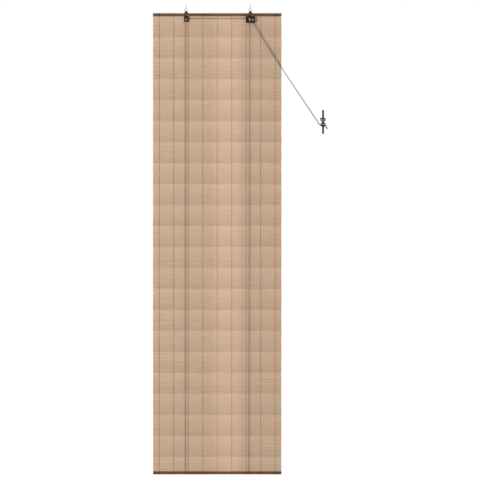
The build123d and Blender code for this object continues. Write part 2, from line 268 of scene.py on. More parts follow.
# %% [markdown]
# The ends of both cords are wound on the cleat in figures of eight: across in front of the bar, behind
# a horn, and back over the other way. The points could be set by hand, but a rule keeps the turns
# apart: a wave up and down, one twice as fast from side to side and one to and fro. Each turn lies
# outside the last one, and the second cord lies beside the first.

# %% Figures of eight
cleat_x, cleat_z = 489.5, -531.0
cleat_centre = Vector((cleat_x * mm, 0, cleat_z * mm))
winding_start, winding_turns, points_per_turn = 0.75 * math.pi, 3.125, 24
# Millimetres from the cleat's middle at the first turn, and how much more for each further turn.
wind = {"half_width": (7.99, 1.87), "half_height": (15.99, 1.04), "shift": (-0.69, 0.0),
        "front": (-1.22, -3.35), "back": (9.4, 1.31)}
wind_lean, wind_beside = 0.083, 1.04


def eight(turn):
    """A point between the two cords after so many turns, and the way out from the bar there."""
    angle = winding_start + math.tau * turn
    width, height, shift, front, back = (first + more * turn for first, more in wind.values())
    z = height * math.cos(angle) + shift
    x = width * math.sin(2 * angle) - wind_lean * z
    y = (front + back) / 2 + (back - front) / 2 * math.cos(2 * angle)
    return Vector((x, y, z)), Vector((math.sin(2 * angle), math.cos(2 * angle), 0))


def winding(way):
    """Control points of one cord's turns round the cleat, to one side (-1) or the other (1)."""
    points = []
    for step in range(int(winding_turns * points_per_turn) + 1):
        turn = step / points_per_turn
        middle, outward = eight(turn)
        onward = eight(turn + 0.01)[0] - eight(turn - 0.01)[0]
        aside = outward.cross(onward).normalized()
        points.append(cleat_centre + (middle + way * wind_beside * aside) * mm)
    return points


print("winding:", winding_turns, "turns")

# %% [markdown]
# The two pull cords leave the lock side by side and sag a little on their way to the cleat. Each is
# one line from the lock through its windings to its end, because it is one cord. The ends hang out at
# the lower right. Each has a knot, a short strand that runs round itself three times.

# %% Pull cords
knot_steps, knot_tightness = 41, 0.85


def knot(name, centre, size):
    """A tight overhand knot, as the line of a trefoil."""
    turns = np.linspace(0, math.tau, knot_steps)
    line = [centre + size * Vector((math.sin(t) + 2 * math.sin(2 * t), -math.sin(3 * t),
                                    math.cos(t) - 2 * math.cos(2 * t))) for t in turns]
    return strand(name, [line], knot_tightness * cord_radius, cord_sides)


pull_exits = {"left": (156.03, -5.45, -58.29), "right": (155.995, -8.05, -58.22)}
pull_leads = {"left": [(263.6, -3.6, -230.0), (448.6, -1.5, -505.0), (468.8, -3.7, -535.1),
                       (473.0, -1.8, -541.5), (475.2, 4.4, -543.6)],
              "right": [(262.4, -6.0, -230.8), (447.2, -4.1, -506.0), (467.4, -4.4, -537.0),
                        (473.1, 1.3, -546.7), (480.1, 3.7, -547.3)]}
pull_tails = {"left": [(497.2, 13.4, -548.2), (503.9, 10.4, -549.9), (505.8, 5.6, -553.5),
                       (505.1, 3.9, -556.1)],
              "right": [(498.0, 13.6, -553.0), (505.5, 11.0, -553.5), (508.6, 6.0, -557.0),
                        (508.4, 4.2, -560.0)]}
pull_knot_size, pull_knot_drop = 0.7 * mm, Vector((0, 0, 1.5 * mm))
for side, way in (("left", -1), ("right", 1)):
    exit_point = Vector(pull_exits[side]) * mm
    route = [exit_point] + [Vector(p) * mm for p in pull_leads[side]]
    route += winding(way)[1:] + [Vector(p) * mm for p in pull_tails[side]]
    line = spline_line(route, 6)
    obj = strand(f"{side}_pull_cord_free", [line], cord_radius, cord_sides)
    tie = knot(f"{side}_pull_cord_knot", line[-1] - pull_knot_drop, pull_knot_size)
    end = place_piece(tie, root, "braided_cord", cord_finish)
    place_piece(obj, root, "braided_cord", cord_finish, f"{side}_pull_cord", "cord_hank")

# %% [markdown]
# The lift cords are held all the way: knotted over the head rail, down behind the mat, under the
# bottom rail and up the front to the pulleys. They shorten when the blind goes up.

# %% Lift cords
left_cord_x, right_cord_x = -155.0, 145.0
left_lane, right_lane = -5.45, -8.05
axle_height, knot_height, bend_height, under_height = -52.8, -21.0, -2166.0, -2179.5
front_leg_y, under_y, knot_y, rear_leg_y = -3.5, 2.4, 4.7, 8.3
lift_knot_size, lift_knot_rise = 0.75 * mm, 0.3


def shorten(obj):
    """Gives the piece a mesh of its own."""
    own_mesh(obj)
    return obj


def lift_cord(name, points, node):
    """A cord of which both ends are held, through these points in millimetres."""
    line = spline_line([Vector(p) * mm for p in points])
    obj = strand(name, [line], cord_radius, cord_sides)
    return place_piece(obj, root, "braided_cord", cord_finish, node)


for side, x, foot_x, lane in (("left", left_cord_x, -154.8, left_lane),
                              ("right", right_cord_x, 142.8, right_lane)):
    under = (foot_x, under_y, under_height - 0.2)
    front = lift_cord(f"{side}_lift_cord_front", [
        (x, lane, axle_height), (foot_x, front_leg_y, bend_height),
        (foot_x, front_leg_y, under_height), under], f"{side}_front_cord")
    shorten(front)
    rear = lift_cord(f"{side}_lift_cord_rear", [
        (x, knot_y, knot_height), (foot_x, rear_leg_y, bend_height),
        (foot_x, rear_leg_y, under_height), under], f"{side}_rear_cord")
    shorten(rear)
    tie = knot(f"{side}_lift_cord_knot", Vector((x, knot_y, knot_height + lift_knot_rise)) * mm,
               lift_knot_size)
    place_piece(tie, root, "braided_cord", cord_finish)

# %% [markdown]
# Over the pulleys the cords turn aside: the left one crosses to the right unit, with a slight sag, and
# both go down past the lock. These runs keep their shape when the blind goes up, so they are pieces of
# their own, and start where the lift cords end.

# %% Runs over the pulleys
left_groove_top, right_groove_top, run_height, run_sag = -47.8, -47.6, -47.9, -48.5
lock_x, lock_bend = 155, -56.59
run_end = 138
over_left = [(left_cord_x, left_lane, axle_height), (left_cord_x, left_lane, left_groove_top),
             (-run_end, left_lane, run_height), (0, left_lane, run_sag),
             (run_end, left_lane, run_height), (lock_x, left_lane, left_groove_top),
             (lock_x, left_lane, lock_bend), pull_exits["left"]]
over_right = [(right_cord_x, right_lane, axle_height), (right_cord_x, right_lane, right_groove_top),
              (lock_x, right_lane, right_groove_top), (lock_x, right_lane, lock_bend),
              pull_exits["right"]]
lift_cord("left_pull_cord_held", over_left, "left_pull_cord")
lift_cord("right_pull_cord_held", over_right, "right_pull_cord")

# %% [markdown]
# Split bamboo is sawn and planed into thin strips. Long fibres give fine streaks along each strip,
# every strip has its own tone, and a darker ring crosses it where the cane had a joint. A picture would
# repeat from slat to slat, so stretched noise draws the streaks, and a seed on each slat shifts them.

# %% Split bamboo
def split_bamboo():
    material, tree, shader, place = new_material("split_bamboo", {
        "Roughness": 0.55, "IOR": fibre_index, "Specular IOR Level": fibre_shine})
    where = add(tree, "ShaderNodeSeparateXYZ", {0: place}).outputs
    tone = add(tree, "ShaderNodeAttribute", attribute_name="slat_tone").outputs["Fac"]
    seed = add(tree, "ShaderNodeAttribute", attribute_name="slat_seed").outputs["Fac"]
    streak_x = add(tree, "ShaderNodeMath", {0: where["X"], 1: per(70)}, operation="MULTIPLY")
    streak_z = add(tree, "ShaderNodeMath", {0: where["Z"], 1: per(0.7)}, operation="MULTIPLY")
    shifted = add(tree, "ShaderNodeMath", {0: seed, 1: 61.0, 2: streak_x.outputs[0]},
                  operation="MULTIPLY_ADD")
    streaks = add(tree, "ShaderNodeCombineXYZ", {0: shifted.outputs[0], 2: streak_z.outputs[0]})
    fibre = add(tree, "ShaderNodeTexNoise", {"Vector": streaks.outputs[0], "Scale": 1.0,
                                             "Detail": 4.0}).outputs[0]
    # Pale straw with a pink cast, from the planed faces to the darker fibres between them.
    colour = add(tree, "ShaderNodeValToRGB", {"Fac": fibre},
                 stops=[(0.25, "b0937a"), (0.5, "c5a78d"), (0.78, "d3b8a0")])
    joints = add(tree, "ShaderNodeMath", {0: where["X"], 1: per(380), 2: seed},
                 operation="MULTIPLY_ADD")
    along = add(tree, "ShaderNodeMath", {0: joints.outputs[0]}, operation="FRACT")
    off = add(tree, "ShaderNodeMath", {0: along.outputs[0], 1: 0.5}, operation="SUBTRACT")
    near = add(tree, "ShaderNodeMath", {0: off.outputs[0]}, operation="ABSOLUTE")
    ring = add(tree, "ShaderNodeMapRange", {0: near.outputs[0], 1: 0.0, 2: 0.006, 3: 0.86, 4: 1.0})
    shade = add(tree, "ShaderNodeMath", {0: ring.outputs[0], 1: tone}, operation="MULTIPLY")
    toned = add(tree, "ShaderNodeVectorMath", {0: colour.outputs["Color"],
                                               "Scale": shade.outputs[0]}, operation="SCALE")
    tree.links.new(toned.outputs[0], shader.inputs["Base Color"])
    bump = add(tree, "ShaderNodeBump", {"Height": fibre, "Strength": 0.3, "Distance": 0.2 * mm})
    tree.links.new(bump.outputs[0], shader.inputs["Normal"])
    return material


bamboo = split_bamboo()
print("mat finish:", bamboo.name)

# %% [markdown]
# One slat is a flat strip with its two front edges planed off. A plain box would leave the seams
# invisible. With this outline the strips touch at the back and leave a dark slit in front.

# %% One slat
slat_length, slat_thickness = 600.0, 1.8
slat_bevel_depth, slat_bevel_height, slat_crown = 0.5, 0.8, 0.1
slat_play, slat_back_edge, slat_slit = 0.02, 0.3, 0.24
mat_top, mat_foot, mat_x, mat_y = -37.2, -2163.8, -5.0, 2.4
slat_count = 347
slat_face = (mat_top - mat_foot) / slat_count


def prism(name, outline, low, high):
    """A straight bar along X with this (y, z) outline, in millimetres."""
    mesh = bpy.data.meshes.new(name)
    count = len(outline)
    places = [(x * mm, y * mm, z * mm) for x in (low, high) for y, z in outline]
    faces = [(i, (i + 1) % count, count + (i + 1) % count, count + i) for i in range(count)]
    faces += [tuple(range(count))[::-1], tuple(range(count, 2 * count))]
    mesh.from_pydata(places, [], faces)
    shape = bmesh.new()
    shape.from_mesh(mesh)
    bmesh.ops.recalc_face_normals(shape, faces=shape.faces)
    shape.to_mesh(mesh)
    shape.free()
    return bpy.data.objects.new(name, mesh)


half_face, half_thickness = slat_face / 2, slat_thickness / 2
slat_half = [(half_thickness, half_face - slat_play),
             (half_thickness - slat_back_edge, half_face - slat_play),
             (slat_bevel_depth - half_thickness, half_face - slat_slit),
             (-half_thickness, half_face - slat_bevel_height)]
slat_outline = slat_half + [(-half_thickness - slat_crown, 0)]
slat_outline += [(y, -z) for y, z in slat_half[::-1]]
slat = prism("slat", slat_outline, -slat_length / 2, slat_length / 2)
print("slat faces:", len(slat.data.polygons))

# %% [markdown]
# Geometry Nodes repeat a shape by a rule. A tree is built here with named inputs, and run on an empty
# mesh. The result is kept as a plain mesh, because live copies would be lost later.

# %% Helpers for Geometry Nodes
def new_tree(name, **sockets):
    """An empty geometry tree with named inputs, and its two ends."""
    tree = bpy.data.node_groups.new(name, "GeometryNodeTree")
    tree.interface.new_socket("Geometry", in_out="OUTPUT", socket_type="NodeSocketGeometry")
    for label, kind in sockets.items():
        tree.interface.new_socket(label, in_out="INPUT", socket_type="NodeSocket" + kind)
    return tree, add(tree, "NodeGroupInput").outputs, add(tree, "NodeGroupOutput")


def grown(name, tree, **values):
    """Runs a tree on an empty mesh with these inputs and keeps the result as a plain mesh."""
    holder = new_object(name, bpy.data.meshes.new(name))
    modifier = holder.modifiers.new(name, "NODES")
    modifier.node_group = tree
    sockets = {item.name: item.identifier for item in tree.interface.items_tree
               if item.in_out == "INPUT"}
    for label, value in values.items():
        modifier[sockets[label]] = value
    mesh = plain_mesh(holder)
    holder.modifiers.remove(modifier)
    holder.data = mesh
    return holder


print("tree helpers ready")

# %% [markdown]
# The mat is the slat at every step down, each copy a hair out of line and tilted, as hand-fed strips
# lie. The weaver works through a bundle of sixteen strips at a time, so that the tone steps down in
# bands about 98 mm high. Every copy carries its tone and a seed for the material.

# %% The mat
bundle_slats, bundle_tone, bundle_fade, slat_tone_spread = 16, 1.09, 0.19, 0.012
slat_shift, slat_tilt = (0.8 * mm, 0.1 * mm, 0.03 * mm), (0.02, 0.0004, 0.0008)


def mat_tree():
    tree, given, end = new_tree("slat_mat", Slat="Object", Count="Int", Face="Float", Top="Vector",
                                Bundle="Int", Tone="Float", Fade="Float", Seed="Int",
                                Finish="Material")
    step = add(tree, "ShaderNodeCombineXYZ", {2: given["Face"]})
    down = add(tree, "ShaderNodeVectorMath", {0: step.outputs[0], "Scale": -1.0}, operation="SCALE")
    line = add(tree, "GeometryNodeMeshLine", {
        "Count": given["Count"], "Start Location": given["Top"], "Offset": down.outputs[0]},
        mode="OFFSET")
    seeds = [add(tree, "ShaderNodeMath", {0: given["Seed"], 1: more}, operation="ADD").outputs[0]
             for more in (0.0, 7.0, 13.0, 29.0)]
    loose, tilt = [add(tree, "FunctionNodeRandomValue", {
        0: tuple(-v for v in spread), 1: spread, "Seed": seed}, data_type="FLOAT_VECTOR").outputs[0]
        for spread, seed in ((slat_shift, seeds[0]), (slat_tilt, seeds[1]))]
    points = add(tree, "GeometryNodeSetPosition", {"Geometry": line.outputs[0], "Offset": loose})
    one = add(tree, "GeometryNodeObjectInfo", {"Object": given["Slat"]}, transform_space="ORIGINAL")
    copies = add(tree, "GeometryNodeInstanceOnPoints", {
        "Points": points.outputs[0], "Instance": one.outputs["Geometry"], "Rotation": tilt})
    index = add(tree, "GeometryNodeInputIndex").outputs[0]
    share = add(tree, "ShaderNodeMath", {0: index, 1: given["Bundle"]}, operation="DIVIDE")
    phase = add(tree, "ShaderNodeMath", {0: share.outputs[0]}, operation="FRACT")
    faded = add(tree, "ShaderNodeMath", {0: phase.outputs[0], 1: given["Fade"]},
                operation="MULTIPLY")
    stepped = add(tree, "ShaderNodeMath", {0: given["Tone"], 1: faded.outputs[0]},
                  operation="SUBTRACT")
    own = add(tree, "FunctionNodeRandomValue", {
        2: -slat_tone_spread, 3: slat_tone_spread, "Seed": seeds[2]}, data_type="FLOAT")
    tone = add(tree, "ShaderNodeMath", {0: stepped.outputs[0], 1: own.outputs[1]}, operation="ADD")
    chance = add(tree, "FunctionNodeRandomValue", {"Seed": seeds[3]}, data_type="FLOAT")
    made = copies.outputs[0]
    for label, value in (("slat_tone", tone.outputs[0]), ("slat_seed", chance.outputs[1])):
        made = add(tree, "GeometryNodeStoreNamedAttribute", {
            "Geometry": made, "Name": label, "Value": value}, domain="INSTANCE").outputs[0]
    real = add(tree, "GeometryNodeRealizeInstances", {"Geometry": made})
    painted = add(tree, "GeometryNodeSetMaterial", {
        "Geometry": real.outputs[0], "Material": given["Finish"]})
    tree.links.new(painted.outputs[0], end.inputs[0])
    return tree


slats = grown("bamboo_slats", mat_tree(), Slat=slat, Count=slat_count, Face=slat_face * mm,
              Top=(mat_x * mm, mat_y * mm, (mat_top - slat_face / 2) * mm), Bundle=bundle_slats,
              Tone=bundle_tone, Fade=bundle_fade, Seed=5, Finish=bamboo)
place_piece(slats, root, "bamboo_slats", None, "slat_mat")
shorten(slats)

# %% [markdown]
# The binding yarn is cotton, two plies twisted together. Like the braid it is too fine to model ply by
# ply, so a slanting wave round the strand draws the twist, with painted shade darkening the groove
# between the plies. One twist is 2.5 mm long.

# %% Twisted yarn
def twisted_yarn():
    material, tree, shader, _ = new_material("twisted_cotton_yarn", {
        "Roughness": 0.9, "IOR": fibre_index, "Specular IOR Level": fibre_shine})
    skin = add(tree, "ShaderNodeSeparateXYZ", {0: add(tree, "ShaderNodeUVMap").outputs[0]})
    along = add(tree, "ShaderNodeMath", {0: skin.outputs["Y"], 1: per(2.5)}, operation="MULTIPLY")
    slant = add(tree, "ShaderNodeMath", {0: skin.outputs["X"], 1: 2.0, 2: along.outputs[0]},
                operation="MULTIPLY_ADD")
    turn = add(tree, "ShaderNodeMath", {0: slant.outputs[0], 1: math.tau}, operation="MULTIPLY")
    ply = add(tree, "ShaderNodeMath", {0: turn.outputs[0]}, operation="SINE")
    height = add(tree, "ShaderNodeMapRange", {0: ply.outputs[0], 1: -1.0, 2: 1.0}).outputs[0]
    # Dark brown, with painted shade in the groove between the plies, so each warp line shows as dashes.
    colour = add(tree, "ShaderNodeValToRGB", {"Fac": height},
                 stops=[(0.0, "281a10"), (0.6, "3e2b1c"), (1.0, "4e3827")])
    tree.links.new(colour.outputs["Color"], shader.inputs["Base Color"])
    bump = add(tree, "ShaderNodeBump", {"Height": height, "Strength": 0.6, "Distance": 0.15 * mm})
    tree.links.new(bump.outputs[0], shader.inputs["Normal"])
    return material


yarn_finish = twisted_yarn()
print("yarn finish:", yarn_finish.name)

# %% [markdown]
# Two yarns bind the slats at each of the nine warp lines. They twine: one passes in front of a slat
# while the other passes behind it, and they change places in every seam. A wave does that, flattened
# so that the yarn lies along the slat's face and turns sharply at the seam.

# %% Warp yarns
warp_count, warp_spacing = 9, 67.7
yarn_radius, yarn_sides = 0.6, 5
yarn_swing, yarn_aside, yarn_flat, steps_per_slat = 1.5, 0.3, 0.4, 4


def warp_x(place):
    """Where a warp line lies across the mat."""
    return mat_x + (place - (warp_count - 1) / 2) * warp_spacing


def twined(x, way):
    """One of the two yarns of a warp line, in front of every other slat."""
    points = []
    for step in range(slat_count * steps_per_slat + 1):
        part = step / steps_per_slat
        wave = math.sin(math.pi * part)
        swing = way * math.copysign(abs(wave) ** yarn_flat, wave)
        aside = yarn_aside * way * math.cos(math.pi * part)
        points.append(Vector((x + aside, mat_y + yarn_swing * swing,
                              mat_top - part * slat_face)) * mm)
    return points


for place in range(warp_count):
    yarns = strand(f"warp_yarn_{place + 1}", [twined(warp_x(place), way) for way in (1, -1)],
                   yarn_radius * mm, yarn_sides)
    place_piece(yarns, root, "warp_yarn", yarn_finish, f"warp_thread_{place + 1}")
    shorten(yarns)

# %% [markdown]
# Round each rail the yarns are tied in loops. They go on from the warp lines, but they are pieces of
# their own, because the rails don't shorten when the mat does. Their ends stay clear of the yarns, so
# that nothing cuts through when the mat closes up.

# %% Ties round the rails
rail_front_y, rail_back_y, rail_height = -2.1, 6.9, 14.0
rail_tops = {"head_rail": -23.0, "bottom_rail": -2164.0}
tie_spread, tie_sides = 0.45, 6


def rail_ties(name, rail, mat_edge, body):
    """Loops of yarn round a rail, from the mat's edge over the rail's front and back."""
    top, foot = rail_tops[rail], rail_tops[rail] - rail_height
    away = 1 if mat_edge < foot else -1
    near, far = (foot, top) if away > 0 else (top, foot)
    # How far the yarn's middle lies off the rail's face, and at which height.
    half = [(-1.6, mat_edge), (0.55, near - away * 0.3), (0.55, near + away * 4),
            (0.55, far - away * 3), (0.6, far + away * 0.6)]
    loop = [(rail_front_y - off, z) for off, z in half] + [(mat_y, far + away * 0.6)]
    loop += [(rail_back_y + off, z) for off, z in half[::-1]]
    lines = [spline_line([Vector((warp_x(place) + aside, y, z)) * mm for y, z in loop], 3)
             for place in range(warp_count) for aside in (-tie_spread, tie_spread)]
    ties = strand(name, lines, yarn_radius * mm, tie_sides)
    return place_piece(ties, body, "warp_yarn", yarn_finish)


rail_ties("head_rail_ties", "head_rail", mat_top, root)
rail_ties("bottom_rail_ties", "bottom_rail", mat_foot, "bottom_rail")

# %% [markdown]
# The rails are planed softwood with a walnut stain. The stain sinks deeper into the soft early wood,
# so the grain shows as long dark streaks, and it is darkest on the sawn ends. The shape is right as it
# comes, so the solids stay and only get this finish.

# %% Stained rails
rail_end_from, rail_end_to = 294.0, 299.5


def stained_wood():
    material, tree, shader, place = new_material("stained_softwood", {
        "Roughness": 0.5, "IOR": fibre_index, "Specular IOR Level": fibre_shine})
    stretch = add(tree, "ShaderNodeMapping", {"Vector": place,
                                              "Scale": (per(120), per(2.2), per(2.2))})
    grain = add(tree, "ShaderNodeTexNoise", {"Vector": stretch.outputs[0], "Scale": 1.0,
                                             "Detail": 5.0, "Distortion": 0.6}).outputs[0]
    # Walnut brown, with a low silky shine.
    colour = add(tree, "ShaderNodeValToRGB", {"Fac": grain},
                 stops=[(0.28, "483019"), (0.5, "63462b"), (0.75, "775836")])
    across = add(tree, "ShaderNodeSeparateXYZ", {0: place}).outputs["X"]
    centred = add(tree, "ShaderNodeMath", {0: across, 1: mat_x * mm}, operation="SUBTRACT")
    reach = add(tree, "ShaderNodeMath", {0: centred.outputs[0]}, operation="ABSOLUTE")
    ends = add(tree, "ShaderNodeMapRange", {0: reach.outputs[0], 1: rail_end_from * mm,
                                            2: rail_end_to * mm, 3: 1.0, 4: 0.62})
    toned = add(tree, "ShaderNodeVectorMath", {0: colour.outputs["Color"],
                                               "Scale": ends.outputs[0]}, operation="SCALE")
    tree.links.new(toned.outputs[0], shader.inputs["Base Color"])
    bump = add(tree, "ShaderNodeBump", {"Height": grain, "Strength": 0.25, "Distance": 0.3 * mm})
    tree.links.new(bump.outputs[0], shader.inputs["Normal"])
    return material


wood = stained_wood()
for node in rail_tops:
    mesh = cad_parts[node].data
    mesh.materials.clear()
    mesh.materials.append(wood)
    print(node, "painted", wood.name)

# %% [markdown]
# The pulley housings are sheet steel dipped in a brown-black paint. The hooks are zinc plated, the
# screws have a yellowish zinc, and rivets and pin are dull nickel. The wheels are moulded nylon, the
# lock's toothed roller is brass, and the cleat is black moulded plastic. All of them are soft blotches
# of tone over a fine grain of gloss, so one function makes each from its colours and sizes.

# %% Metals and plastics
def coated(name, dark, light, roughness, metallic, blotch, bump_height, shine=0.5):
    """A finish with soft blotches of tone and a fine unevenness, both sized in millimetres."""
    material, tree, shader, place = new_material(name, {
        "Metallic": metallic, "Specular IOR Level": shine})
    cloud = add(tree, "ShaderNodeTexNoise", {"Vector": place, "Scale": per(blotch), "Detail": 3.0})
    colour = add(tree, "ShaderNodeValToRGB", {"Fac": cloud.outputs[0]},
                 stops=[(0.3, dark), (0.7, light)])
    tree.links.new(colour.outputs["Color"], shader.inputs["Base Color"])
    grit = add(tree, "ShaderNodeTexNoise", {"Vector": place, "Scale": per(blotch / 6),
                                            "Detail": 2.0}).outputs[0]
    gloss = add(tree, "ShaderNodeMapRange", {0: grit, 3: roughness - 0.08, 4: roughness + 0.08})
    tree.links.new(gloss.outputs[0], shader.inputs["Roughness"])
    bump = add(tree, "ShaderNodeBump", {"Height": grit, "Strength": 0.4,
                                        "Distance": bump_height * mm})
    tree.links.new(bump.outputs[0], shader.inputs["Normal"])
    print("finish:", name)
    return material


# Nearly black with a brown cast, and dull, as a thin dipped coat dries.
black_paint = coated("brown_black_paint_on_steel", "1b1209", "2b1e11", 0.55, 0.0, 6.0, 0.04, 0.15)
# Grey and cloudy, so that the hooks stand out against a white background.
zinc = coated("zinc_plated_steel", "5e6264", "7c8082", 0.4, 1.0, 3.0, 0.02)
# Screws have a thin yellowish coat, brighter than the plates that they hold.
yellow_zinc = coated("yellow_zinc_screws", "b3a08a", "cdbba5", 0.4, 1.0, 2.0, 0.02)
# Rivet and pin heads are duller and warmer than the hooks.
nickel = coated("dull_nickel_plate", "84786b", "9c9083", 0.45, 1.0, 3.0, 0.02)
# Milky and soft, greyed partly by use and partly as painted shade for wheels deep in their housings.
greyed_and_shaded_nylon = coated("moulded_nylon_painted_shade", "989289", "aca69d", 0.5, 0.0, 5.0, 0.02)
# A warm yellow metal with a fine grain.
brass = coated("toothed_brass", "9c7d42", "c3a463", 0.35, 1.0, 2.5, 0.02)
# Deep black with a low moulded gloss.
black_plastic = coated("black_moulded_plastic", "0c0c0d", "161617", 0.5, 0.0, 4.0, 0.05, 0.2)

# %% [markdown]
# Stamped and turned parts have slightly rounded edges that catch the light. A solid with knife edges
# would look like paper. So each solid is copied, its loose triangles are merged, and a fine bevel is
# cut along its edges. The copy stands for the solid.

# %% Housings, wheels, lock and cleat
merge_distance = 0.002 * mm
flat_angle = math.radians(0.5)


def rounded(node, name, bevel, body, slot, material, edge_angle=35):
    """A copy of a solid with its edges bevelled, which takes the solid's place."""
    shape = bmesh.new()
    shape.from_mesh(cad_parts[node].data)
    bmesh.ops.remove_doubles(shape, verts=shape.verts, dist=merge_distance)
    bmesh.ops.dissolve_limit(shape, angle_limit=flat_angle, verts=shape.verts, edges=shape.edges)
    mesh = bpy.data.meshes.new(name)
    shape.to_mesh(mesh)
    shape.free()
    obj = new_object(name, mesh)
    cut = obj.modifiers.new("edges", "BEVEL")
    cut.width = bevel * mm
    cut.segments = 2
    cut.limit_method = "ANGLE"
    cut.angle_limit = math.radians(edge_angle)
    finished = plain_mesh(obj)
    obj.modifiers.remove(cut)
    obj.data = finished
    finished.polygons.foreach_set("use_smooth", [True] * len(finished.polygons))
    finished.set_sharp_from_angle(angle=math.radians(edge_angle))
    return place_piece(obj, body, slot, material, node)


for side in ("left", "right"):
    rounded(f"{side}_hanger_plate", f"{side}_hanger", 0.25, root, "black_steel", black_paint)
    rounded(f"{side}_front_cheek", f"{side}_cheek", 0.25, root, "black_steel", black_paint)
rounded("left_wheel", "left_pulley_wheel", 0.15, "left_wheel", "white_nylon", greyed_and_shaded_nylon)
rounded("guide_wheel", "guide_pulley_wheel", 0.15, "guide_wheel", "white_nylon", greyed_and_shaded_nylon)
rounded("left_axle_rivet", "left_axle", 0.3, root, "zinc_steel", nickel)
rounded("guide_axle_rivet", "guide_axle", 0.3, root, "zinc_steel", nickel)
rounded("lock_pin", "lock_pin_headed", 0.3, "lock_pin", "zinc_steel", nickel)
rounded("lock_roller", "lock_roller_toothed", 0.1, "lock_roller", "roller_brass", brass, 25)
rounded("cleat", "wall_cleat", 0.8, root, "black_plastic", black_plastic, 30)

# %% [markdown]
# A wood screw has a thread that winds round a core and ends in a point. A profile swept along a helix
# would cut into itself at the point. So the thread is rings of points whose radius rises and falls
# along a helix and closes at the tip. The same rule makes the shanks of hooks and screws.

# %% Threads
thread_sides, rings_per_turn, thread_root, tip_share = 14, 7, 0.72, 0.06


def threaded(name, start, axis, side, length, crest, pitch, tip):
    """A threaded shank from start along axis: its radius follows a helix and closes to a point."""
    other = axis.cross(side)
    rings = int(length / pitch * rings_per_turn)
    places, faces = [], []
    for ring in range(rings + 1):
        along = length * ring / rings
        taper = min(1.0, (length - along) / tip + tip_share)
        for corner in range(thread_sides):
            share = (along / pitch - corner / thread_sides) % 1.0
            ridge = max(0.0, 1 - abs(share - 0.5) * 4)
            radius = crest * taper * (thread_root + (1 - thread_root) * ridge)
            angle = math.tau * corner / thread_sides
            outward = side * math.cos(angle) + other * math.sin(angle)
            places.append((start + axis * along + radius * outward) * mm)
    for ring in range(rings):
        low, high = ring * thread_sides, (ring + 1) * thread_sides
        for corner in range(thread_sides):
            after = (corner + 1) % thread_sides
            faces.append((low + corner, low + after, high + after, high + corner))
    last = rings * thread_sides
    faces += [tuple(range(thread_sides))[::-1], tuple(range(last, last + thread_sides))]
    mesh = bpy.data.meshes.new(name)
    mesh.from_pydata(places, [], faces)
    mesh.polygons.foreach_set("use_smooth", [True] * len(mesh.polygons))
    return new_object(name, mesh)


def joined(name, *objs):
    """Several meshes as one."""
    shape = bmesh.new()
    for obj in objs:
        shape.from_mesh(obj.data)
        bpy.data.objects.remove(obj)
    mesh = bpy.data.meshes.new(name)
    shape.to_mesh(mesh)
    shape.free()
    return new_object(name, mesh)


up, right, toward_wall = Vector((0, 0, 1)), Vector((1, 0, 0)), Vector((0, 1, 0))
print("threads have", thread_sides, "sides and", rings_per_turn, "rings to a turn")

# %% [markdown]
# A screw hook is one wire: a threaded shank, a small bend aside and an open ring, in which the hanger
# plate's eye hangs. The bend and the ring touch where their tangents agree, so a few angles give the
# whole line, and the wire is a strand along it.

# %% Screw hooks
hook_places = (-150.0, 150.0)
hook_wire, hook_sides = 1.3, 16
hook_ring, hook_drop, hook_bend, hook_end = 7.0, 9.3, 70.0, 30.0
hook_wire_top, hook_thread_foot, hook_thread = 4.0, 0.5, 17.5
hook_crest, hook_pitch, hook_tip = 1.5, 1.6, 4.0


def hook_line(x):
    """Down the shank, aside in a small bend and round in an open ring."""
    turn = math.radians(hook_bend)
    bend = hook_ring * math.cos(turn) / (1 - math.cos(turn))
    bend_z = -hook_drop + (hook_ring + bend) * math.sin(turn)
    points = [(x, 0, hook_wire_top)]
    for step in range(7):
        angle = turn * step / 6
        points.append((x - bend + bend * math.cos(angle), 0, bend_z - bend * math.sin(angle)))
    sweep = 360 + hook_end - (180 - hook_bend)
    for step in range(1, 37):
        angle = math.radians(180 - hook_bend + sweep * step / 36)
        points.append((x + hook_ring * math.cos(angle), 0,
                       -hook_drop + hook_ring * math.sin(angle)))
    return [Vector(p) * mm for p in points]


hook_wires = strand("hook_wires", [hook_line(x) for x in hook_places], hook_wire * mm, hook_sides)
hook_shanks = [threaded("hook_shank", Vector((x, 0, hook_thread_foot)), up, right, hook_thread,
                        hook_crest, hook_pitch, hook_tip) for x in hook_places]
hooks = joined("zinc_screw_hooks", hook_wires, *hook_shanks)
place_piece(hooks, root, "zinc_steel", zinc, "screw_hooks")

# %% [markdown]
# A screw has a domed head with a crossed slot, a plain neck and a thread. The dome is a profile spun
# round the axis, and two bars are cut out of it for the cross. Drawing the cross in the material would
# not show from the side.

# %% One screw
screw_pitch, screw_tip = 1.4, 3.0


